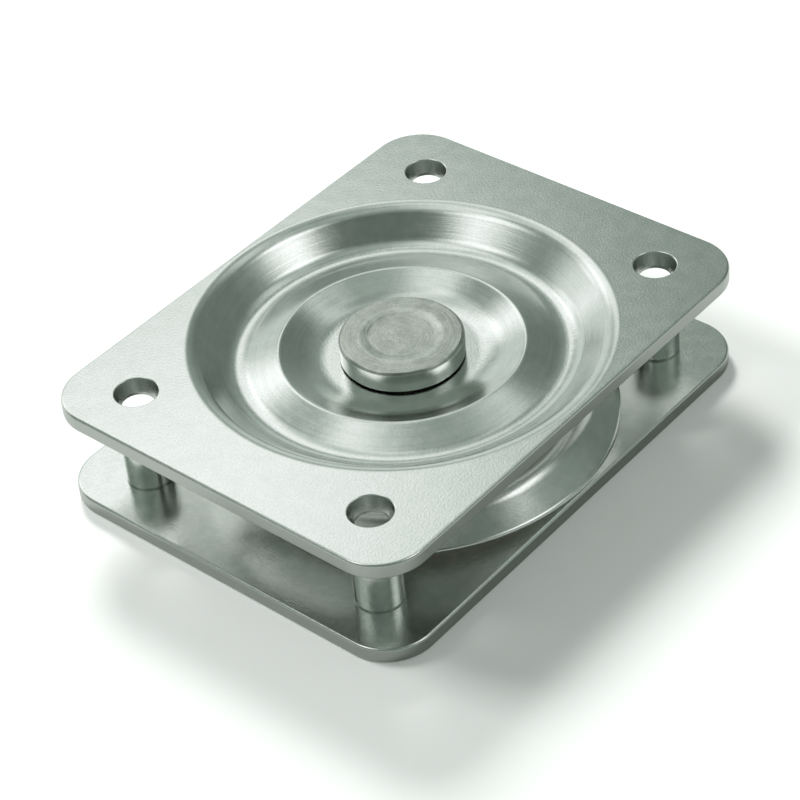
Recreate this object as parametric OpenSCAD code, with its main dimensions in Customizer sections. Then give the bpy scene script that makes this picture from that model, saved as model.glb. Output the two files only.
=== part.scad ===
// Swivel plate: two pressed steel plates that turn on a ring of balls, held together by a rivet.
// Millimetres. The base plate's underside is z = 0, +Z is up and +X runs along the long side.
// Both plates are the same pressing: the upper one is dished down, the lower one is dished up.

/* [Plates] */
// Length of both plates
plate_l = 100; // [92:1:130]
// Width of both plates
plate_w = 77; // [77:1:110]
// Radius of the plates' corners
corner_r = 9; // [4:0.5:14]
// Thickness of the sheet
sheet_t = 3; // [2.5:0.1:3.5]
// Radius along the sheet's cut edges
edge_r = 0.5; // [0.2:0.1:0.8]

/* [Pressing] */
// Flat sheet left between the dish and the plates' long sides
dish_margin = 0.7; // [0.6:0.1:2]
// Slope of the dish's outer wall, in degrees
wall_slope = 42; // [36:1:48]
// Depth of the flat floor ring inside the wall
floor_depth = 5.2; // [4.4:0.1:5.6]
// Width of the floor ring
floor_w = 2.8; // [2:0.1:3.2]
// Width of the ridge's outer slope, up from the floor ring
ridge_outer_w = 6.1; // [5.8:0.1:6.8]
// Width of the ridge's inner slope, down to the hub
ridge_inner_w = 5.7; // [5.2:0.1:6]
// Depth of the ridge's crest below the sheet's face
ridge_depth = 3.2; // [2.8:0.1:3.6]
// Depth of the hub
hub_depth = 5.9; // [5.5:0.1:6.2]
// Bend radius on the dished side of the outer lip
lip_bend_r = 4.2; // [3.8:0.1:4.6]
// Bend radius on the dished side at the floor ring's outer edge
floor_bend_r = 1.8; // [1:0.1:2.5]
// Bend radius on the dished side at the ridge's outer foot
foot_bend_r = 4; // [2:0.5:8]
// Bend radius on the dished side of the ridge's crest
crest_bend_r = 1; // [0.6:0.1:1.6]
// Bend radius on the dished side round the hub
hub_bend_r = 2; // [1:0.1:3]

/* [Fixing holes] */
// Distance of the holes from the plates' short sides
hole_edge_l = 11; // [8:0.5:12]
// Distance of the holes from the plates' long sides
hole_edge_w = 12.5; // [9:0.5:13]
// Diameter of the straight part of an upper fixing hole
hole_d = 5.8; // [4.5:0.1:6.2]
// Diameter of the fixing hole's cone at the sheet's face
hole_cone_d = 7.7; // [7:0.1:9]
// Length of the straight part of the fixing hole
hole_land = 0.6; // [0.4:0.1:1.2]

/* [Ball race] */
// Diameter of a ball
ball_d = 8; // [7:0.1:8.6]
// Number of balls
ball_count = 12; // [8:1:12]
// Gap between a ball and each ball track
track_clear = 0.06; // [0.02:0.01:0.1]
// How much larger the ball track's section is than the ball, in radius
track_ease = 0.2; // [0.1:0.05:0.4]
// Thickness of the ball cage
cage_t = 2.4; // [1.8:0.1:2.8]
// Width of cage left inside and outside each ball pocket
cage_rim = 1.8; // [1.2:0.1:2.2]
// Gap between a ball and its pocket
pocket_clear = 0.1; // [0.05:0.01:0.15]

/* [Pivot] */
// Diameter of the rivet's head
head_d = 22; // [19:0.5:24]
// Thickness of the rivet's head
head_t = 3.9; // [3:0.1:4.5]
// Chamfer round the top of the rivet's head
head_chamfer = 0.6; // [0.2:0.1:1]
// Diameter of the shallow turned recess in the rivet's head
head_recess_d = 13; // [8:0.5:16]
// Depth of that recess
head_recess_t = 0.15; // [0.05:0.05:0.4]
// Diameter of the rivet's shank
shank_d = 9; // [7:0.5:10]
// Clearance round the shank, in radius
shank_clear = 0.05; // [0.02:0.01:0.1]
// Outer diameter of the bush's collar, on which the upper plate turns
collar_d = 14; // [12.5:0.5:15.5]
// Running clearance between the collar and the upper plate, in radius
collar_clear = 0.05; // [0.02:0.01:0.1]
// Outer diameter of the bush's flange between the plates
flange_d = 20; // [17:0.5:24]
// Up and down play of the upper plate on the bush
hub_play = 0.1; // [0.05:0.01:0.2]
// Outer diameter of the slip washer under the head
slip_washer_d = 18.6; // [17:0.1:20]
// Thickness of the slip washer
slip_washer_t = 0.3; // [0.2:0.05:0.5]
// Gap between the slip washer and the collar, in radius
slip_washer_clear = 0.1; // [0.05:0.05:0.3]
// Gap between the slip washer and the head
head_gap = 0.12; // [0.05:0.01:0.3]
// Outer diameter of the washer under the rivet's tail
tail_washer_d = 18; // [16:0.5:22]
// Thickness of the washer under the rivet's tail
tail_washer_t = 1.5; // [1:0.1:1.8]
// Diameter of the rivet's closed tail
tail_d = 14; // [12:0.5:15]
// Height of the rivet's closed tail
tail_t = 2.3; // [1.8:0.1:2.5]
// Rounding round the rivet's closed tail
tail_round = 1.5; // [0.5:0.1:1.7]

/* [Base bushes] */
// Outer diameter of a base bush
bush_d = 8.5; // [7.8:0.1:9.5]
// Height of a base bush above the lower plate
bush_h = 9; // [6:0.5:10]
// Diameter of the spigot that is pressed into the lower plate
bush_spigot_d = 7; // [6.4:0.1:7.4]
// How far the spigot stays back from the lower plate's underside
bush_spigot_back = 0.3; // [0.1:0.1:0.6]
// Bore of a base bush, cut for the fixing bolt's thread
bush_bore_d = 5; // [4:0.1:5.5]
// Chamfer at both ends of a base bush
bush_chamfer = 0.35; // [0.2:0.05:0.6]

/* [Hidden] */
BALLS = [for (i = [1 : ball_count]) str("ball_", i)];
BUSHES = [for (i = [1 : 4]) str("base_bush_", i)];

// Facets of round forms, and steps along each bend
$fn = 96;
bend_steps = 7;
edge_steps = 4;
// How far a cutting shape runs past what it cuts
past = 1;

// Plane geometry of the pressing's section, drawn as [radius, height below the sheet's face]
function unit(v) = v / norm(v);
function under(a, b) = let (d = unit(b - a)) [d[1], -d[0]];
function shifted_corner(a, b, c, t) =
    let (n = under(a, b), m = under(b, c)) b + t * (n + m) / (1 + n * m);
function bend_centre(a, b, c, r) =
    let (u = unit(a - b), v = unit(c - b), half = acos(u * v) / 2) b + unit(u + v) * r / sin(half);
function bend(a, b, c, r) =
    let (
        u = unit(a - b),
        v = unit(c - b),
        run = r / tan(acos(u * v) / 2),
        m = bend_centre(a, b, c, r),
        s = b + u * run - m,
        e = b + v * run - m,
        from = atan2(s[1], s[0]),
        turn = atan2(s[0] * e[1] - s[1] * e[0], s * e)
    )
    [for (i = [0 : bend_steps]) m + r * [cos(from + turn * i / bend_steps), sin(from + turn * i / bend_steps)]];
function bent_path(p, radii) = [
    for (i = [0 : len(p) - 1])
        if (i == 0 || i == len(p) - 1) p[i]
        else each bend(p[i - 1], p[i], p[i + 1], radii[i])
];
function quarter(cx, cy, r, from) = [
    for (i = [0 : edge_steps]) [cx + r * cos(from + 90 * i / edge_steps), cy + r * sin(from + 90 * i / edge_steps)]
];

// Radii of the section's corners on the dished side, from the outside inwards
dish_r = plate_w / 2 - dish_margin;
lip_corner_r = dish_r - lip_bend_r * tan(wall_slope / 2);
wall_foot_r = lip_corner_r - floor_depth / tan(wall_slope);
floor_inner_r = wall_foot_r - floor_w;
ridge_r = floor_inner_r - ridge_outer_w;
hub_r = ridge_r - ridge_inner_w;

// The section's corners on the dished side, from the centre outwards
dished = [
    [0, -hub_depth],
    [hub_r, -hub_depth],
    [ridge_r, -ridge_depth],
    [floor_inner_r, -floor_depth],
    [wall_foot_r, -floor_depth],
    [lip_corner_r, 0],
    [dish_r + past, 0]
];
dished_bends = [0, hub_bend_r, crest_bend_r, foot_bend_r, floor_bend_r, lip_bend_r, 0];

// The same corners on the raised side, one sheet thickness away
last = len(dished) - 1;
raised = [
    for (i = [0 : last])
        if (i == 0) dished[0] + [0, -sheet_t]
        else if (i == last) dished[last] + [0, -sheet_t]
        else shifted_corner(dished[i - 1], dished[i], dished[i + 1], sheet_t)
];
track_r = ball_d / 2 + track_ease;
raised_bends = [
    0,
    hub_bend_r + sheet_t,
    track_r,
    foot_bend_r + sheet_t,
    floor_bend_r + sheet_t,
    max(lip_bend_r - sheet_t, 0.3),
    0
];

// Where the balls run, and how far apart that holds the plates
track_centre = bend_centre(raised[1], raised[2], raised[3], track_r);
ball_ring_r = track_centre[0];
track_depth = -track_centre[1] - track_r;
total_h = 2 * track_depth + ball_d + 2 * track_clear;
mid_z = total_h / 2;

// Heights of the pivot's parts
lower_hub_z = sheet_t + hub_depth;
upper_hub_z = total_h - hub_depth;
flange_top_z = upper_hub_z - sheet_t - hub_play;
head_z = upper_hub_z + slip_washer_t + head_gap;
hub_under_z = lower_hub_z - sheet_t;
tail_z = hub_under_z - tail_washer_t;

zinc = "#b4bdb6";
turned = "#9aa39c";
bright = "#cfd6d0";
nylon = "#e4e2d8";

// A disc with rounded edges
module soft_disc(r, h, e) {
    rotate_extrude()
        polygon(concat([[0, 0]], quarter(r - e, e, e, -90), quarter(r - e, h - e, e, 0), [[0, h]]));
}

// A bar along X with rounded long edges
module soft_bar(l, w, h, e) {
    rotate([90, 0, 90])
        translate([0, 0, -l / 2])
            linear_extrude(l)
                polygon(concat(
                    quarter(w / 2 - e, e, e, -90),
                    quarter(w / 2 - e, h - e, e, 0),
                    quarter(e - w / 2, h - e, e, 90),
                    quarter(e - w / 2, e, e, 180)
                ));
}

module at_hole(x, y) {
    translate([x * (plate_l / 2 - hole_edge_l), y * (plate_w / 2 - hole_edge_w), 0]) children();
}

module at_holes() {
    for (x = [-1, 1], y = [-1, 1])
        at_hole(x, y) children();
}

// The sheet's blank, its top face at z = 0
module blank() {
    translate([0, 0, -sheet_t]) {
        soft_bar(plate_l - 2 * corner_r, plate_w, sheet_t, edge_r);
        rotate(90) soft_bar(plate_w - 2 * corner_r, plate_l, sheet_t, edge_r);
        for (x = [-1, 1], y = [-1, 1])
            translate([x * (plate_l / 2 - corner_r), y * (plate_w / 2 - corner_r), 0])
                soft_disc(corner_r, sheet_t, edge_r);
    }
}

// A solid of the dish, down to the given section line
module dish_form(line, top) {
    rotate_extrude()
        polygon(concat([[0, top]], line, [[line[len(line) - 1][0], top]]));
}

// Section lines up to the flat sheet
function without_last(p) = [for (i = [0 : len(p) - 2]) p[i]];
dish_line = without_last(bent_path(dished, dished_bends));
boss_line = without_last(bent_path(raised, raised_bends));

// The pressing that both plates share, dished down, its sheet's top face at z = 0
module pressing(bore_d) {
    difference() {
        union() {
            blank();
            dish_form(boss_line, -sheet_t / 2);
        }
        dish_form(dish_line, past);
        translate([0, 0, -total_h]) cylinder(d = bore_d, h = total_h);
    }
}

module fixing_hole() {
    translate([0, 0, -sheet_t - past]) cylinder(d = hole_d, h = sheet_t + past, $fn = 48);
    translate([0, 0, hole_land - sheet_t])
        cylinder(d1 = hole_d, d2 = hole_cone_d, h = sheet_t - hole_land, $fn = 48);
    cylinder(d = hole_cone_d, h = past, $fn = 48);
}

module upper_plate() {
    color(zinc)
        translate([0, 0, total_h])
            difference() {
                pressing(collar_d + 2 * collar_clear);
                at_holes() fixing_hole();
            }
}

module lower_plate() {
    color(zinc)
        mirror([0, 0, 1])
            difference() {
                pressing(shank_d + 2 * shank_clear);
                at_holes()
                    translate([0, 0, -sheet_t - past])
                        cylinder(d = bush_spigot_d, h = sheet_t + 2 * past, $fn = 48);
            }
}

// Rivet in one piece: turned head, shank and the tail closed over its washer
module centre_rivet() {
    r = head_d / 2;
    top = head_z + head_t;
    recess_r = head_recess_d / 2;
    tail_r = tail_d / 2;
    tail_end_z = tail_z - tail_t;
    color(turned)
        rotate_extrude()
            polygon(concat(
                [[0, tail_end_z]],
                quarter(tail_r - tail_round, tail_end_z + tail_round, tail_round, -90),
                [[tail_r, tail_z],
                [shank_d / 2, tail_z],
                [shank_d / 2, head_z],
                [r, head_z],
                [r, top - head_chamfer],
                [r - head_chamfer, top],
                [recess_r, top],
                [recess_r - head_recess_t, top - head_recess_t],
                [0, top - head_recess_t]]
            ));
}

// Flanged bush round the shank: the flange keeps the plates apart, the collar carries the upper one
module pivot_bush() {
    color(bright)
        difference() {
            union() {
                translate([0, 0, lower_hub_z]) cylinder(d = flange_d, h = flange_top_z - lower_hub_z);
                translate([0, 0, lower_hub_z]) cylinder(d = collar_d, h = head_z - lower_hub_z);
            }
            translate([0, 0, lower_hub_z - past])
                cylinder(d = shank_d + 2 * shank_clear, h = head_z - lower_hub_z + 2 * past);
        }
}

module ring(outer_d, inner_d, z, t) {
    translate([0, 0, z])
        difference() {
            cylinder(d = outer_d, h = t);
            translate([0, 0, -past]) cylinder(d = inner_d, h = t + 2 * past);
        }
}

module slip_washer() {
    color(nylon) ring(slip_washer_d, collar_d + 2 * slip_washer_clear, upper_hub_z, slip_washer_t);
}

module tail_washer() {
    color(zinc) ring(tail_washer_d, shank_d + 2 * shank_clear, tail_z, tail_washer_t);
}

module at_ball(i) {
    rotate(360 * i / ball_count) translate([ball_ring_r, 0, mid_z]) children();
}

// Flat cage whose ball-shaped pockets hold it level with the balls' middles
module ball_cage() {
    reach = ball_d / 2 + pocket_clear + cage_rim;
    color(nylon)
        difference() {
            ring(2 * (ball_ring_r + reach), 2 * (ball_ring_r - reach), mid_z - cage_t / 2, cage_t);
            for (i = [1 : ball_count])
                at_ball(i) sphere(r = ball_d / 2 + pocket_clear, $fn = 64);
        }
}

module ball(i) {
    color(bright) at_ball(i) sphere(d = ball_d, $fn = 64);
}

// Bush pressed into the lower plate round one fixing bolt
module base_bush(i) {
    x = i % 2 == 1 ? -1 : 1;
    y = i < 3 ? -1 : 1;
    r = bush_d / 2;
    spigot_z = bush_spigot_back;
    top = sheet_t + bush_h;
    color(bright)
        at_hole(x, y)
            difference() {
                rotate_extrude($fn = 48)
                    polygon([
                        [0, spigot_z],
                        [bush_spigot_d / 2, spigot_z],
                        [bush_spigot_d / 2, sheet_t],
                        [r - bush_chamfer, sheet_t],
                        [r, sheet_t + bush_chamfer],
                        [r, top - bush_chamfer],
                        [r - bush_chamfer, top],
                        [0, top]
                    ]);
                translate([0, 0, -past]) cylinder(d = bush_bore_d, h = top + 2 * past, $fn = 48);
            }
}

upper_plate();
lower_plate();
centre_rivet();
pivot_bush();
slip_washer();
tail_washer();
ball_cage();
for (i = [1 : ball_count])
    ball(i);
for (i = [1 : 4])
    base_bush(i);
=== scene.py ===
import bpy
import math
from mathutils import Matrix, Vector
from mathutils.geometry import tessellate_polygon


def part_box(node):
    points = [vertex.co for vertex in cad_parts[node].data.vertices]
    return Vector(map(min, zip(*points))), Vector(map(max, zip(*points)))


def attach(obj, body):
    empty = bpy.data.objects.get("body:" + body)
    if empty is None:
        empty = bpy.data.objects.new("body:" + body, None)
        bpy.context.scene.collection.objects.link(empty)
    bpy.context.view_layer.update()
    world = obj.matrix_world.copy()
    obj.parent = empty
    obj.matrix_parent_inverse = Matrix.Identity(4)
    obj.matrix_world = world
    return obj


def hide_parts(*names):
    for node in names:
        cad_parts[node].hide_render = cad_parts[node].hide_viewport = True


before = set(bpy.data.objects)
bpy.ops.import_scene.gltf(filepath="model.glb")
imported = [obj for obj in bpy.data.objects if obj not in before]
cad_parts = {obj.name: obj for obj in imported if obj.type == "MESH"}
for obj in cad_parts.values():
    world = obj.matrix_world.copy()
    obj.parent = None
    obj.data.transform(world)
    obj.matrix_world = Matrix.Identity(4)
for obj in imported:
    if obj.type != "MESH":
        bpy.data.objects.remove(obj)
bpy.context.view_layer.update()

# Swivel plate: two pressed, zinc plated steel plates that turn on a ball race round a rivet.
# Sizes are millimetres in the part's own frame, and angles are degrees.
MM = 0.001

# Plates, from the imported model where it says
plate_low, plate_high = (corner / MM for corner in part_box("upper_plate"))
plate_l = plate_high.x - plate_low.x
plate_w = plate_high.y - plate_low.y
total_h = plate_high.z
corner_r = 9
sheet_t = 3
edge_r = 0.5

# Section of the pressing
dish_margin = 0.7
wall_slope = 42
floor_depth = 5.2
floor_w = 2.8
ridge_outer_w = 6.1
ridge_inner_w = 5.7
ridge_depth = 3.2
hub_depth = 5.9
lip_bend_r = 4.2
floor_bend_r = 4.4
foot_bend_r = 6
crest_bend_r = 1.3
hub_bend_r = 12
track_r = 4.2
bore_edge_r = 0.2

# Fixing holes
hole_edge_l = 11
hole_edge_w = 12.5
hole_d = 5.8
hole_cone_d = 7.7
hole_land = 0.6
hole_lip_r = 0.25
land_lip_r = 0.1

# Pivot
upper_bore_d = 14.1
lower_bore_d = 9.1
head_d = 22
head_t = 3.9
head_chamfer = 0.45
head_recess_d = 13
head_recess_t = 0.15
head_recess_ease = 0.7
head_recess_bend_r = 5
head_edge_r = 0.3
shank_d = 9
tail_d = 14
tail_t = 2.3
tail_round = 1.5
head_gap = 0.42
tail_washer_t = 1.5

# Base bushes
bush_d = 8.5
bush_h = 9
bush_spigot_d = 7
bush_spigot_back = 0.3
bush_bore_d = 5
bush_chamfer = 0.35
spigot_hole_lead = 0.1

# How finely round forms are divided
ROUND_STEPS = 256
HOLE_STEPS = 64
CORNER_STEPS = 20
BEND_STEPS = 14
PAST = 1


# Meshes

class Skin:
    """Faces with the true normal at each corner, joined where their corners meet."""

    def __init__(self):
        self.points = []
        self.place = {}
        self.faces = []
        self.normals = []

    def point(self, p):
        key = tuple(round(v, 3) for v in p)
        if key not in self.place:
            self.place[key] = len(self.points)
            self.points.append(p)
        return self.place[key]

    def face(self, points, normals):
        """Adds a face, leaving out a corner that falls on the one before it."""
        kept = []
        for p, n in zip(points, normals):
            at = self.point(p)
            if all(at != other for other, _ in kept):
                kept.append((at, n))
        if len(kept) > 2:
            self.faces.append([at for at, _ in kept])
            self.normals.extend(n for _, n in kept)

    def sweep(self, profile, spokes):
        """Carries a profile round a closed ring of spokes, each a centre and a direction."""
        def spot(entry, spoke):
            (r, z), _ = entry
            cx, cy, dx, dy = spoke
            return (cx + r * dx, cy + r * dy, z)

        def facing(entry, spoke):
            _, (nr, nz) = entry
            _, _, dx, dy = spoke
            return (nr * dx, nr * dy, nz)

        for spoke, after in zip(spokes, spokes[1:] + spokes[:1]):
            for entry, onward in zip(profile, profile[1:]):
                if (Vector(onward[0]) - Vector(entry[0])).length > 1e-4:
                    ends = ((entry, spoke), (onward, spoke), (onward, after), (entry, after))
                    self.face([spot(*end) for end in ends], [facing(*end) for end in ends])

    def fill(self, loops, z, up):
        """Fills the flat between an outline and the outlines inside it."""
        flat = [Vector((x, y, z)) for loop in loops for x, y in loop]
        rings = [[Vector((x, y, z)) for x, y in loop] for loop in loops]
        for corners in tessellate_polygon(rings):
            a, b, c = (flat[k] for k in corners)
            turn = (b - a).cross(c - a).z
            if abs(turn) > 1e-9:
                order = (a, b, c) if turn * up > 0 else (a, c, b)
                self.face([tuple(p) for p in order], [(0, 0, up)] * 3)

    def piece(self, name, lift=0, turned_over=False):
        """Makes the object, turned over about the X axis's plane and lifted as asked."""
        side = -1 if turned_over else 1
        points = [(x * MM, y * MM, (side * z + lift) * MM) for x, y, z in self.points]
        faces, normals, start = [], [], 0
        for face in self.faces:
            turned = self.normals[start:start + len(face)]
            start += len(face)
            faces.append(face[::side])
            normals.extend((x, y, side * z) for x, y, z in turned[::side])
        mesh = bpy.data.meshes.new(name)
        mesh.from_pydata(points, [], faces)
        mesh.shade_smooth()
        mesh.normals_split_custom_set(normals)
        made = bpy.data.objects.new(name, mesh)
        bpy.context.scene.collection.objects.link(made)
        return made


def bent(corners, radii, steps=BEND_STEPS):
    """A bent line as (point, normal) pairs, the normals on the left of the way it runs."""
    corners = [Vector(c) for c in corners]
    ways = [(b - a).normalized() for a, b in zip(corners, corners[1:])]
    left = [Vector((-way.y, way.x)) for way in ways]
    line = [(corners[0], left[0])]
    for k in range(1, len(corners) - 1):
        back, onward = -ways[k - 1], ways[k]
        if radii[k] == 0:
            line += [(corners[k], left[k - 1]), (corners[k], left[k])]
            continue
        half = back.angle(onward) / 2
        run = radii[k] / math.tan(half)
        centre = corners[k] + (back + onward).normalized() * (radii[k] / math.sin(half))
        arm = corners[k] + back * run - centre
        side = 1 if arm.dot(left[k - 1]) > 0 else -1
        turn = math.atan2(left[k - 1].x * left[k].y - left[k - 1].y * left[k].x, left[k - 1].dot(left[k]))
        for step in range(steps + 1):
            swung = Matrix.Rotation(turn * step / steps, 2) @ arm
            line.append((centre + swung, swung * (side / radii[k])))
    line.append((corners[-1], left[-1]))
    return line


def around(x=0, y=0, steps=ROUND_STEPS):
    """Spokes round one centre."""
    turns = [2 * math.pi * k / steps for k in range(steps)]
    return [(x, y, math.cos(a), math.sin(a)) for a in turns]


def plate_rim():
    """Spokes round the plate's outline, fanned out at its four corners."""
    spokes = []
    for k, (x, y) in enumerate(((1, 1), (-1, 1), (-1, -1), (1, -1))):
        for step in range(CORNER_STEPS + 1):
            a = math.pi / 2 * (k + step / CORNER_STEPS)
            centre = (x * (plate_l / 2 - corner_r), y * (plate_w / 2 - corner_r))
            spokes.append((*centre, math.cos(a), math.sin(a)))
    return spokes


def ring_at(entry, spokes):
    """The loop that one point of a profile draws round its spokes."""
    r = entry[0][0]
    return [(cx + r * dx, cy + r * dy) for cx, cy, dx, dy in spokes]


# Section of the pressing, drawn as (radius, height below the sheet's face)
dish_r = plate_w / 2 - dish_margin
lip_corner_r = dish_r - lip_bend_r * math.tan(math.radians(wall_slope / 2))
wall_foot_r = lip_corner_r - floor_depth / math.tan(math.radians(wall_slope))
floor_inner_r = wall_foot_r - floor_w
ridge_r = floor_inner_r - ridge_outer_w
hub_r = ridge_r - ridge_inner_w
dished = [
    (0, -hub_depth),
    (hub_r, -hub_depth),
    (ridge_r, -ridge_depth),
    (floor_inner_r, -floor_depth),
    (wall_foot_r, -floor_depth),
    (lip_corner_r, 0),
    (dish_r + PAST, 0),
]
dished_bends = [0, hub_bend_r, crest_bend_r, foot_bend_r, floor_bend_r, lip_bend_r, 0]
raised_bends = [0, hub_bend_r + sheet_t, track_r, foot_bend_r + sheet_t, floor_bend_r + sheet_t,
                lip_bend_r - sheet_t, 0]


def one_sheet_under(corners):
    """The same corners on the raised side, one sheet thickness away."""
    line = [Vector(c) for c in corners]
    under = []
    for a, b in zip(line, line[1:]):
        way = (b - a).normalized()
        under.append(Vector((way.y, -way.x)))
    moved = [line[0] + under[0] * sheet_t]
    for k in range(1, len(line) - 1):
        n, m = under[k - 1], under[k]
        moved.append(line[k] + (n + m) * (sheet_t / (1 + n.dot(m))))
    moved.append(line[-1] + under[-1] * sheet_t)
    return moved


def pressing_profile(bore_r):
    """Round form of the pressing: in along the raised side, up the bore, out along the dish."""
    raised = one_sheet_under(dished)
    corners = raised[:0:-1] + [(bore_r, raised[0].y), (bore_r, -hub_depth)] + dished[1:]
    bends = raised_bends[:0:-1] + [bore_edge_r, bore_edge_r] + dished_bends[1:]
    return bent(corners, bends)[1:-1]


def hole_profile(straight_r, cone_r, land):
    """Wall of a fixing hole, from the sheet's underside up to its face."""
    corners = [
        (straight_r + PAST, -sheet_t),
        (straight_r, -sheet_t),
        (straight_r, land - sheet_t),
        (cone_r, 0),
        (cone_r + PAST, 0),
    ]
    return bent(corners, [0, land_lip_r, land_lip_r, hole_lip_r, 0], 6)[1:-1]


def hole_places():
    x, y = plate_l / 2 - hole_edge_l, plate_w / 2 - hole_edge_w
    return [(-x, -y), (x, -y), (-x, y), (x, y)]


def pressed_plate(bore_d, straight_d, cone_d, land):
    """The pressed sheet, dished down, its flat face at height zero."""
    skin = Skin()
    form, form_spokes = pressing_profile(bore_d / 2), around()
    corners = [(corner_r - PAST, 0), (corner_r, 0), (corner_r, -sheet_t), (corner_r - PAST, -sheet_t)]
    edge, edge_spokes = bent(corners, [0, edge_r, edge_r, 0])[1:-1], plate_rim()
    wall = hole_profile(straight_d / 2, cone_d / 2, land)
    skin.sweep(form, form_spokes)
    skin.sweep(edge, edge_spokes)
    face_loops = [ring_at(edge[0], edge_spokes), ring_at(form[-1], form_spokes)]
    under_loops = [ring_at(edge[-1], edge_spokes), ring_at(form[0], form_spokes)]
    for x, y in hole_places():
        spokes = around(x, y, HOLE_STEPS)
        skin.sweep(wall, spokes)
        face_loops.append(ring_at(wall[-1], spokes))
        under_loops.append(ring_at(wall[0], spokes))
    skin.fill(face_loops, 0, 1)
    skin.fill(under_loops, -sheet_t, -1)
    return skin


def turned(profile, spokes):
    """A solid turned on a lathe."""
    skin = Skin()
    skin.sweep(profile, spokes)
    return skin


def rivet_profile():
    """Rivet in one piece, from the middle of its head round to the middle of its tail."""
    hub_z = total_h - hub_depth
    head_z = hub_z + head_gap
    top = head_z + head_t
    r, recess_r = head_d / 2, head_recess_d / 2
    shank_r, tail_r = shank_d / 2, tail_d / 2
    tail_z = hub_depth - tail_washer_t
    end_z = tail_z - tail_t
    corners = [
        (0, top - head_recess_t),
        (recess_r - head_recess_ease, top - head_recess_t),
        (recess_r + head_recess_ease, top),
        (r - head_chamfer, top),
        (r, top - head_chamfer),
        (r, head_z),
        (shank_r, head_z),
        (shank_r, tail_z),
        (tail_r, tail_z),
        (tail_r, end_z),
        (0, end_z),
    ]
    bends = [0, head_recess_bend_r, head_recess_bend_r, head_edge_r, 0.4, 0.15, 0.2, 0.2, 0.2, tail_round, 0]
    return bent(corners, bends, 6)


def bush_profile():
    """Base bush with its spigot, from the bore's top edge round to its bottom edge and up."""
    r, bore_r, spigot_r = bush_d / 2, bush_bore_d / 2, bush_spigot_d / 2
    top = sheet_t + bush_h
    corners = [
        (bore_r, (top + bush_spigot_back) / 2),
        (bore_r, top - bush_chamfer),
        (bore_r + bush_chamfer, top),
        (r - bush_chamfer, top),
        (r, top - bush_chamfer),
        (r, sheet_t + bush_chamfer),
        (r - bush_chamfer, sheet_t),
        (spigot_r, sheet_t),
        (spigot_r, bush_spigot_back),
        (bore_r + bush_chamfer, bush_spigot_back),
        (bore_r, bush_spigot_back + bush_chamfer),
        (bore_r, (top + bush_spigot_back) / 2),
    ]
    return bent(corners, [0, 0.1, 0.1, 0.12, 0.12, 0.12, 0.1, 0.1, 0.1, 0.1, 0.1, 0], 4)


# Node trees

class Wiring:
    """Places nodes in a material, a world or a group, and joins them."""

    def __init__(self, tree):
        self.tree = tree

    def feed(self, socket, value):
        if isinstance(value, bpy.types.NodeSocket):
            self.tree.links.new(value, socket)
        elif isinstance(value, tuple) and socket.type == "RGBA":
            socket.default_value = (*value[:3], 1)
        elif value is not None:
            socket.default_value = value

    def node(self, kind, *values, **named):
        """A node with its inputs fed in order or by name; a name that isn't an input is a setting."""
        made = self.tree.nodes.new("ShaderNode" + kind)
        inputs = {key.replace("_", " "): value for key, value in named.items()}
        for key, value in named.items():
            if hasattr(made, key):
                setattr(made, key, value)
                del inputs[key.replace("_", " ")]
        for socket, value in zip(made.inputs, values):
            self.feed(socket, value)
        for name, value in inputs.items():
            self.feed(made.inputs[name], value)
        return made

    def math(self, operation, a, b=None):
        return self.node("Math", a, b, operation=operation).outputs[0]

    def vector(self, operation, a, b=None):
        made = self.node("VectorMath", a, b, operation=operation)
        return made.outputs["Value" if operation in ("DOT_PRODUCT", "LENGTH") else "Vector"]

    def ease(self, value, low, high, at_low=0, at_high=1):
        """Runs smoothly from at_low to at_high as the value goes from low to high."""
        made = self.node("MapRange", value, low, high, at_low, at_high, interpolation_type="SMOOTHSTEP")
        return made.outputs["Result"]

    def noise(self, place, scale, detail=2, roughness=0.5):
        made = self.node("TexNoise", Vector=place, Scale=scale, Detail=detail, Roughness=roughness)
        return made.outputs["Fac"]

    def mix(self, share, a, b):
        made = self.node("Mix", data_type="RGBA")
        self.feed(made.inputs[0], share)
        self.feed(made.inputs[6], a)
        self.feed(made.inputs[7], b)
        return made.outputs[2]


def node_group(name, inputs, outputs):
    """An empty shader node group with its sockets, given as (kind, name, value) and (kind, name)."""
    group = bpy.data.node_groups.new(name, "ShaderNodeTree")
    for kind, label, value in inputs:
        socket = group.interface.new_socket(label, in_out="INPUT", socket_type="NodeSocket" + kind)
        if value is not None:
            socket.default_value = value
    for kind, label in outputs:
        group.interface.new_socket(label, in_out="OUTPUT", socket_type="NodeSocket" + kind)
    wires = Wiring(group)
    start = group.nodes.new("NodeGroupInput").outputs
    end = group.nodes.new("NodeGroupOutput").inputs
    return group, wires, start, end


def use(wires, group, **values):
    """Places a group in a tree and feeds its inputs."""
    made = wires.tree.nodes.new("ShaderNodeGroup")
    made.node_tree = group
    for name, value in values.items():
        wires.feed(made.inputs[name.replace("_", " ")], value)
    return made.outputs


# Finishes

# What each effect is scaled in: object coordinates are metres, and the effects think in millimetres
PER_MM = 1 / MM


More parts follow.
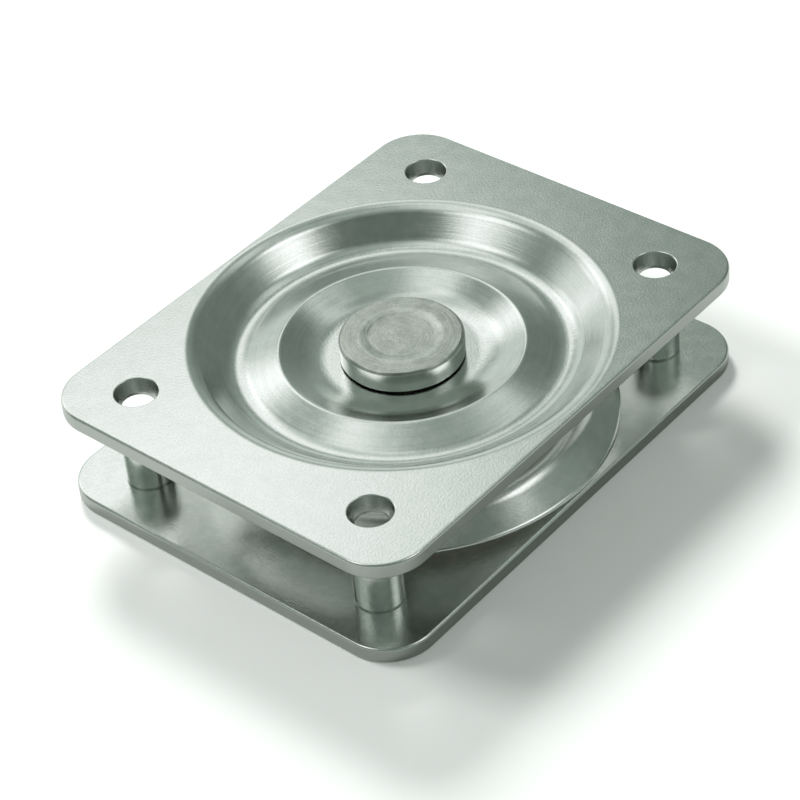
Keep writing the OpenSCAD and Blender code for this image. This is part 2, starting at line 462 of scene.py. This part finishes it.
def grain_group():
    """Fine matte grain of a zinc plated sheet, with soft clouds and a few dark specks."""
    group, w, start, end = node_group(
        "zinc_grain",
        [("Vector", "Place", None), ("Float", "Grain size", 0.3), ("Float", "Cloud size", 9)],
        [("Float", "Grain"), ("Float", "Clouds"), ("Float", "Specks")],
    )
    place = w.vector("SCALE", start["Place"])
    place.node.inputs["Scale"].default_value = PER_MM
    fine = w.noise(place, w.math("DIVIDE", 1, start["Grain size"]), 3, 0.6)
    clouds = w.noise(place, w.math("DIVIDE", 1, start["Cloud size"]), 5, 0.65)
    specks = w.noise(place, 1.1, 4, 0.7)
    w.feed(end["Grain"], fine)
    w.feed(end["Clouds"], w.ease(clouds, 0.3, 0.7))
    w.feed(end["Specks"], w.ease(specks, 0.66, 0.74))
    return group


def rings_group():
    """Lines drawn or turned round the Z axis: a fine set and a wider, softer one."""
    group, w, start, end = node_group(
        "turned_rings",
        [("Vector", "Place", None), ("Float", "Lines per mm", 4), ("Float", "Waver", 1.2)],
        [("Float", "Fine"), ("Float", "Broad"), ("Float", "Radius")],
    )
    place = w.vector("SCALE", start["Place"])
    place.node.inputs["Scale"].default_value = PER_MM
    flat = w.vector("MULTIPLY", place, (1, 1, 0))
    radius = w.vector("LENGTH", flat)
    way = w.node("SeparateXYZ", w.vector("NORMALIZE", flat)).outputs
    height = w.node("SeparateXYZ", place).outputs["Z"]
    across = w.math("ADD", radius, height)

    def lines(count, waver):
        spot = w.node("CombineXYZ", w.math("MULTIPLY", across, count), w.math("MULTIPLY", way["X"], waver),
                      w.math("MULTIPLY", way["Y"], waver)).outputs[0]
        return w.noise(spot, 1, 2, 0.6)

    w.feed(end["Fine"], lines(start["Lines per mm"], start["Waver"]))
    w.feed(end["Broad"], lines(w.math("MULTIPLY", start["Lines per mm"], 0.25), start["Waver"]))
    w.feed(end["Radius"], radius)
    return group


def metal(name):
    """A bare metal material: its wiring, shader and object coordinates."""
    material = bpy.data.materials.new(name)
    material.use_nodes = True
    w = Wiring(material.node_tree)
    shader = material.node_tree.nodes["Principled BSDF"]
    shader.inputs["Metallic"].default_value = 1
    place = w.node("TexCoord").outputs["Object"]
    return material, w, shader, place


def bumped(w, shader, height, depth, strength=1.0):
    """Raises the surface by a height map whose full range is a depth in millimetres."""
    bump = w.node("Bump", Strength=strength, Distance=depth * MM, Height=height)
    w.feed(shader.inputs["Normal"], bump.outputs[0])


def between(w, value, inner, outer, soft):
    """A mask that is 1 from the inner to the outer value, with soft edges."""
    up = w.ease(value, inner - soft, inner + soft)
    down = w.ease(value, outer - soft, outer + soft, 1, 0)
    return w.math("MULTIPLY", up, down)


def upright(w):
    """A mask of the faces that stand on edge: the sheared rim and the walls of the holes."""
    normal = w.node("SeparateXYZ", w.node("TexCoord").outputs["Normal"]).outputs["Z"]
    return w.ease(w.math("ABSOLUTE", normal), 0.25, 0.6, 1, 0)


def zinc_sheet_finish(grain, rings):
    """Zinc plated sheet: matte grained flats, streaked walls where it was drawn, darker grey shear-cut edges
    whose colour is partly the cut steel's own tone and partly painted shade for the shadowed floor they
    mirror.
    """
    material, w, shader, place = metal("zinc_sheet")
    g = use(w, grain, Place=place, Grain_size=0.4, Cloud_size=3.2)
    r = use(w, rings, Place=place, Lines_per_mm=3.4, Waver=1.6)
    radius = r["Radius"]
    ridge = between(w, radius, hub_r, floor_inner_r - 0.5, 0.6)
    wall = between(w, radius, wall_foot_r, dish_r, 0.6)
    drawn = w.math("ADD", ridge, wall)
    sheared_rim_and_shade = w.math("MULTIPLY", upright(w), w.ease(radius, dish_r - 0.5, dish_r + 0.5))

    rough = w.math("ADD", w.math("MULTIPLY", g["Clouds"], 0.03), 0.15)
    rough = w.math("ADD", rough, w.math("MULTIPLY", w.math("MULTIPLY", r["Broad"], drawn), 0.05))
    rough = w.math("ADD", rough, w.math("MULTIPLY", sheared_rim_and_shade, 0.16))
    w.feed(shader.inputs["Roughness"], rough)

    tone = w.mix(g["Clouds"], (0.665, 0.69, 0.67), (0.735, 0.75, 0.735))
    streaks = w.math("MULTIPLY", w.ease(r["Fine"], 0.35, 0.65), w.math("MULTIPLY", drawn, 0.22))
    tone = w.mix(streaks, tone, (0.52, 0.55, 0.525))
    tone = w.mix(w.math("MULTIPLY", w.ease(g["Grain"], 0.45, 0.62), 0.2), tone, (0.5, 0.525, 0.505))
    tone = w.mix(w.math("MULTIPLY", g["Specks"], 0.3), tone, (0.33, 0.35, 0.32))
    # Darker grey on the cut rim and the hole walls: partly the bare cut steel's own tone, partly painted
    # shade standing in for the shadowed floor these faces mirror
    tone = w.mix(w.math("MULTIPLY", sheared_rim_and_shade, 0.85), tone, (0.35, 0.375, 0.355))
    w.feed(shader.inputs["Base Color"], tone)

    matte = w.math("SUBTRACT", 1, w.math("MULTIPLY", drawn, 0.6))
    lines = w.math("ADD", w.math("MULTIPLY", r["Broad"], 0.7), w.math("MULTIPLY", r["Fine"], 0.4))
    height = w.math("ADD", w.math("MULTIPLY", g["Grain"], matte), w.math("MULTIPLY", lines, drawn))
    bumped(w, shader, height, 0.02)
    return material


def rivet_finish(grain, rings):
    """Turned rivet: a dull, ringed top with a lighter ring round the recess and dark specks, and a polished
    side.
    """
    material, w, shader, place = metal("turned_steel")
    g = use(w, grain, Place=place, Grain_size=0.35, Cloud_size=3.5)
    r = use(w, rings, Place=place, Lines_per_mm=5.5, Waver=2.4)
    radius = r["Radius"]
    top = w.math("SUBTRACT", 1, upright(w))
    recess_r = head_recess_d / 2
    # A lighter ring in the colour, just outside the recess's edge, blotched by the clouds
    lighter_ring = between(w, radius, recess_r - 0.2, recess_r + 1.1, 0.45)
    lighter_ring = w.math("MULTIPLY", lighter_ring, w.math("ADD", w.math("MULTIPLY", g["Clouds"], 0.7), 0.3))

    rough = w.math("ADD", w.math("MULTIPLY", top, 0.14), 0.07)
    rough = w.math("ADD", rough, w.math("MULTIPLY", g["Clouds"], 0.08))
    w.feed(shader.inputs["Roughness"], rough)

    tone = w.mix(g["Clouds"], (0.40, 0.42, 0.395), (0.62, 0.64, 0.605))
    tone = w.mix(w.math("MULTIPLY", w.ease(r["Fine"], 0.35, 0.65), 0.4), tone, (0.36, 0.38, 0.355))
    tone = w.mix(w.math("MULTIPLY", lighter_ring, 0.6), tone, (0.72, 0.74, 0.7))
    tone = w.mix(w.math("SUBTRACT", 1, top), tone, (0.76, 0.78, 0.75))
    tone = w.mix(w.math("MULTIPLY", w.math("MULTIPLY", g["Specks"], top), 0.6), tone, (0.16, 0.17, 0.15))
    w.feed(shader.inputs["Base Color"], tone)

    lines = w.math("ADD", w.math("MULTIPLY", r["Broad"], 1.4), r["Fine"])
    height = w.math("ADD", w.math("MULTIPLY", lines, w.math("ADD", w.math("MULTIPLY", top, 0.8), 0.2)),
                    w.math("MULTIPLY", g["Grain"], 0.5))
    bumped(w, shader, height, 0.02)
    return material


def bush_finish(grain, rings):
    """Zinc plated turned steel, with faint tool lines round it."""
    material, w, shader, place = metal("bush_steel")
    g = use(w, grain, Place=place, Grain_size=0.3, Cloud_size=4)
    height = w.node("SeparateXYZ", w.vector("MULTIPLY", place, (1, 1, PER_MM))).outputs["Z"]
    spot = w.node("CombineXYZ", 0, 0, w.math("MULTIPLY", height, 5)).outputs[0]
    lines = w.noise(spot, 1, 2, 0.6)
    w.feed(shader.inputs["Roughness"], w.math("ADD", w.math("MULTIPLY", g["Clouds"], 0.08), 0.13))
    tone = w.mix(g["Clouds"], (0.6, 0.635, 0.605), (0.7, 0.735, 0.7))
    tone = w.mix(w.math("MULTIPLY", w.ease(lines, 0.35, 0.65), 0.2), tone, (0.5, 0.53, 0.5))
    tone = w.mix(w.math("MULTIPLY", g["Specks"], 0.3), tone, (0.34, 0.36, 0.33))
    w.feed(shader.inputs["Base Color"], tone)
    bumped(w, shader, w.math("ADD", lines, w.math("MULTIPLY", g["Grain"], 0.4)), 0.006)
    return material


def ball_finish(grain):
    """Polished bearing steel under a thin, uneven film of grease."""
    material, w, shader, place = metal("ball_steel")
    g = use(w, grain, Place=place, Grain_size=0.5, Cloud_size=2.5)
    w.feed(shader.inputs["Roughness"], w.math("ADD", w.math("MULTIPLY", g["Clouds"], 0.12), 0.05))
    w.feed(shader.inputs["Base Color"], w.mix(g["Clouds"], (0.72, 0.73, 0.72), (0.58, 0.57, 0.52)))
    bumped(w, shader, g["Grain"], 0.002)
    return material


def nylon_finish(grain):
    """Natural moulded nylon, a little translucent, with a fine moulded grain."""
    material, w, shader, place = metal("nylon")
    shader.inputs["Metallic"].default_value = 0
    shader.inputs["Subsurface Weight"].default_value = 0.15
    shader.inputs["Subsurface Scale"].default_value = 0.002
    g = use(w, grain, Place=place, Grain_size=0.4, Cloud_size=5)
    w.feed(shader.inputs["Roughness"], w.math("ADD", w.math("MULTIPLY", g["Clouds"], 0.15), 0.4))
    tone = w.mix(g["Clouds"], (0.66, 0.635, 0.54), (0.74, 0.715, 0.63))
    tone = w.mix(w.math("MULTIPLY", g["Specks"], 0.3), tone, (0.42, 0.39, 0.31))
    w.feed(shader.inputs["Base Color"], tone)
    bumped(w, shader, g["Grain"], 0.01)
    return material


# Pieces

def stand_in(made, node, body, material):
    """Puts a made piece in a node's place on its body."""
    made.data.materials.append(material)
    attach(made, body)
    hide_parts(node)
    return made


grain, rings = grain_group(), rings_group()
zinc_sheet = zinc_sheet_finish(grain, rings)
turned_steel = rivet_finish(grain, rings)
bush_steel = bush_finish(grain, rings)
ball_steel = ball_finish(grain)
nylon = nylon_finish(grain)

upper = pressed_plate(upper_bore_d, hole_d, hole_cone_d, hole_land)
stand_in(upper.piece("upper_pressing", total_h), "upper_plate", "turntable", zinc_sheet)
lower = pressed_plate(lower_bore_d, bush_spigot_d, bush_spigot_d + spigot_hole_lead, hole_land)
stand_in(lower.piece("lower_pressing", 0, True), "lower_plate", "base", zinc_sheet)
stand_in(turned(rivet_profile(), around()).piece("rivet"), "centre_rivet", "base", turned_steel)
for k, (x, y) in enumerate(hole_places(), 1):
    bush = turned(bush_profile(), around(x, y, HOLE_STEPS)).piece(f"bush_{k}")
    stand_in(bush, f"base_bush_{k}", "base", bush_steel)

carried = {"pivot_bush": bush_steel, "tail_washer": zinc_sheet, "slip_washer": nylon, "ball_cage": nylon}
for name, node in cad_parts.items():
    if not node.hide_render:
        for slot in node.material_slots:
            slot.material = carried.get(name, ball_steel)


# Floor and light

# Soft boxes and dark flags that the metal mirrors:
# azimuth, elevation, half width, half height, soft edge, light
SOFT_BOXES = [
    ("window_high", 58, 42, 14, 7, 6, 1.1),
    ("window_middle", 82, 36, 12, 8, 6, 0.95),
    ("window_top", 62, 56, 13, 7, 5, 0.42),
    ("window_low", 62, 12, 30, 15, 7, 0.5),
    ("window_side", 98, 22, 13, 12, 7, 0.65),
    ("back_left", 148, 58, 14, 10, 6, 1.3),
    ("right", -60, 55, 11, 10, 5, 1.5),
    ("far", 5, 57, 13, 4, 4, 0.65),
    ("far_high", -12, 66, 6, 3, 4, 0.5),
    ("overhead_back", 68, 68, 11, 4, 4, 0.85),
    ("overhead_left", 112, 75, 10, 9, 6, 0.6),
    ("overhead", 40, 86, 16, 10, 6, 0.15),
    ("front_flag", -125, 60, 30, 14, 8, -0.14),
    ("side_flag", -8, 18, 25, 30, 8, -0.1),
]
AMBIENT = 0.30
DOME_R = 2500
DOME_STEP = 2
DIM_LIGHT, DIM_TINT = 0.15, Vector((0.9, 1.12, 0.97))
BRIGHT_LIGHT, BRIGHT_TINT = 1.2, Vector((0.99, 1.01, 1.0))
SKY = (0.33, 0.36, 0.335)
FLOOR_COLOUR = (0.8, 0.82, 0.8)
FLOOR_GLOW = 0.12


def direction(azimuth, elevation):
    a, e = math.radians(azimuth), math.radians(elevation)
    return Vector((math.cos(a) * math.cos(e), math.sin(a) * math.cos(e), math.sin(e)))


def faded(off, half, soft):
    """1 inside a half width, 0 outside it, with a soft edge between."""
    t = min(max((half + soft - abs(off)) / (2 * soft), 0), 1)
    return t * t * (3 - 2 * t)


def studio_light(way):
    """How bright the studio is in a direction seen from the part."""
    light = AMBIENT
    for _, azimuth, elevation, half_w, half_h, soft, strength in SOFT_BOXES:
        middle = direction(azimuth, elevation)
        across = Vector((-middle.y, middle.x, 0)).normalized()
        ahead = way.dot(middle)
        aside = math.degrees(math.atan2(way.dot(across), ahead))
        above = math.degrees(math.atan2(way.dot(middle.cross(across)), ahead))
        light += strength * faded(aside, half_w, soft) * faded(above, half_h, soft)
    return light


def add_studio():
    """A dome that only polished metal mirrors, painted with the soft boxes' light."""
    skin = Skin()
    arc = [((math.cos(a), math.sin(a)), (math.cos(a), math.sin(a)))
           for a in (math.radians(DOME_STEP * k) for k in range(-2, 90 // DOME_STEP + 1))]
    skin.sweep([((r * DOME_R, z * DOME_R), n) for (r, z), n in arc], around(steps=360 // DOME_STEP))
    dome = skin.piece("studio_dome")
    paint = dome.data.color_attributes.new("light", "FLOAT_COLOR", "POINT")
    for vertex, shade in zip(dome.data.vertices, paint.data):
        light = studio_light(vertex.co.normalized())
        share = min(max((light - DIM_LIGHT) / (BRIGHT_LIGHT - DIM_LIGHT), 0), 1)
        shade.color = (*(DIM_TINT.lerp(BRIGHT_TINT, share) * light), 1)
    material = bpy.data.materials.new("studio_dome")
    material.use_nodes = True
    w = Wiring(material.node_tree)
    material.node_tree.nodes.remove(material.node_tree.nodes["Principled BSDF"])
    glow = w.node("Emission", Color=w.node("Attribute", attribute_name="light").outputs["Color"])
    w.feed(material.node_tree.nodes["Material Output"].inputs["Surface"], glow.outputs[0])
    dome.data.materials.append(material)
    material.cycles.emission_sampling = "NONE"
    dome.visible_camera = dome.visible_diffuse = dome.visible_shadow = dome.visible_transmission = False


def add_world():
    """White to the camera, and even soft light on everything matt."""
    world = bpy.data.worlds.new("studio")
    bpy.context.scene.world = world
    world.use_nodes = True
    w = Wiring(world.node_tree)
    seen = w.node("LightPath").outputs["Is Camera Ray"]
    w.feed(world.node_tree.nodes["Background"].inputs["Color"], w.mix(seen, SKY, (1, 1, 1)))


def add_floor():
    """Plain pale floor: a little of its own light for the camera turns its lit part white."""
    bpy.ops.mesh.primitive_plane_add(size=6)
    floor = bpy.context.object
    floor.name = "floor"
    material = bpy.data.materials.new("floor")
    material.use_nodes = True
    w = Wiring(material.node_tree)
    shader = material.node_tree.nodes["Principled BSDF"]
    shader.inputs["Base Color"].default_value = (*FLOOR_COLOUR, 1)
    shader.inputs["Roughness"].default_value = 0.9
    shader.inputs["Emission Color"].default_value = (1, 1, 1, 1)
    w.feed(shader.inputs["Emission Strength"],
           w.math("MULTIPLY", w.node("LightPath").outputs["Is Camera Ray"], FLOOR_GLOW))
    floor.data.materials.append(material)


def add_camera():
    """The photograph's camera: direction and distance from the base's centre, in degrees and mm."""
    azimuth, elevation, roll = (math.radians(v) for v in (-46.9676, 39.689, -5.5261))
    distance, aside, above = 449.292, -1.6792, 3.9403
    focal_px, image_px = 2523.947, 800
    back = Vector((math.sin(azimuth) * math.cos(elevation),
                   -math.cos(azimuth) * math.cos(elevation), math.sin(elevation)))
    level = Vector((math.cos(azimuth), math.sin(azimuth), 0))
    upward = back.cross(level)
    right = level * math.cos(roll) + upward * math.sin(roll)
    up = upward * math.cos(roll) - level * math.sin(roll)
    data = bpy.data.cameras.new("camera")
    data.sensor_width = 36
    data.lens = focal_px / image_px * data.sensor_width
    data.clip_start = 0.01
    data.clip_end = 20
    camera = bpy.data.objects.new("camera", data)
    place = (back * distance + right * aside + up * above) * MM
    camera.matrix_world = Matrix((
        (right.x, up.x, back.x, place.x),
        (right.y, up.y, back.y, place.y),
        (right.z, up.z, back.z, place.z),
        (0, 0, 0, 1),
    ))
    bpy.context.scene.collection.objects.link(camera)
    bpy.context.scene.camera = camera


def add_lamp(name, azimuth, elevation, distance, size, power):
    """A soft square lamp, aimed at the part's middle; the metal mirrors the dome's boxes instead."""
    data = bpy.data.lights.new(name, "AREA")
    data.size = size
    data.energy = power
    lamp = bpy.data.objects.new(name, data)
    toward = direction(azimuth, elevation)
    lamp.location = toward * distance
    lamp.rotation_euler = toward.to_track_quat("Z", "Y").to_euler()
    lamp.visible_glossy = False
    bpy.context.scene.collection.objects.link(lamp)
    return lamp


add_floor()
add_world()
add_studio()
add_camera()
add_lamp("key", 54, 36, 1.5, 0.36, 21)
add_lamp("side", 108, 42, 1.5, 0.5, 13)

bpy.context.scene.view_settings.view_transform = "Standard"
